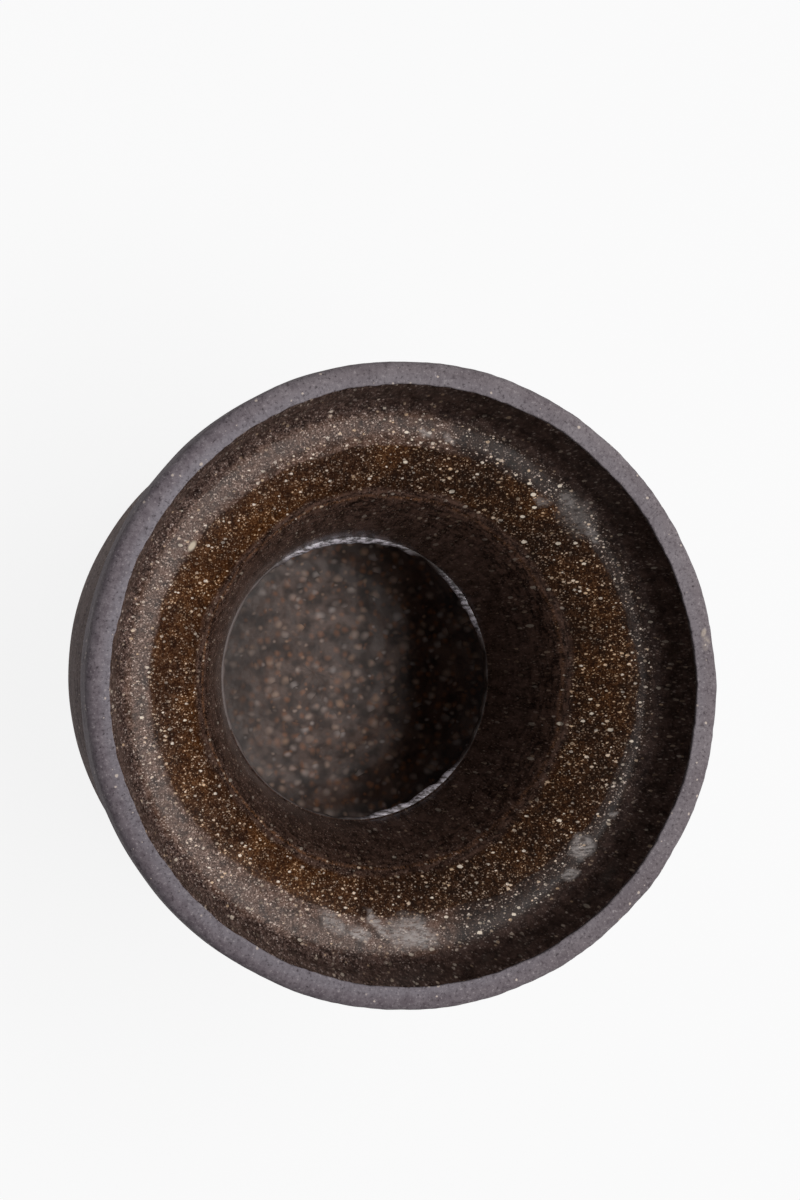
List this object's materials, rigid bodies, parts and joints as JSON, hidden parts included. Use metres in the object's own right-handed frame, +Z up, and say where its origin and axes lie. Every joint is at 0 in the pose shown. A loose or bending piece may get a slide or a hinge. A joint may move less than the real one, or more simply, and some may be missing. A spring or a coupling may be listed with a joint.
{
  "type": "ceramic vase",
  "caption": "Stoneware vase with a dish-shaped mouth, a narrow throat and a round belly on a foot ring, glazed inside.",
  "frame": {"origin": "middle of the foot ring's resting face, on the vase's axis", "axes": "+Z up along the vase's axis; the vase is round, so X and Y are any two level directions"},
  "size_m": [0.12, 0.12, 0.096],
  "materials": {
    "bare_clay": "unglazed dark stoneware with fine pale grog, matte",
    "slip": "slip under glaze, satin",
    "glaze": "thin satin brown glaze over speckled clay"
  },
  "bodies": {
    "root": {"mouth_collar": "bare_clay", "upper_bowl": "bare_clay", "throat_slip_seam": "slip", "lower_body": "bare_clay", "foot_ring": "bare_clay", "mouth_glaze": "glaze", "chamber_glaze": "glaze", "floor_glaze_pool": "glaze"}
  },
  "joints": []
}
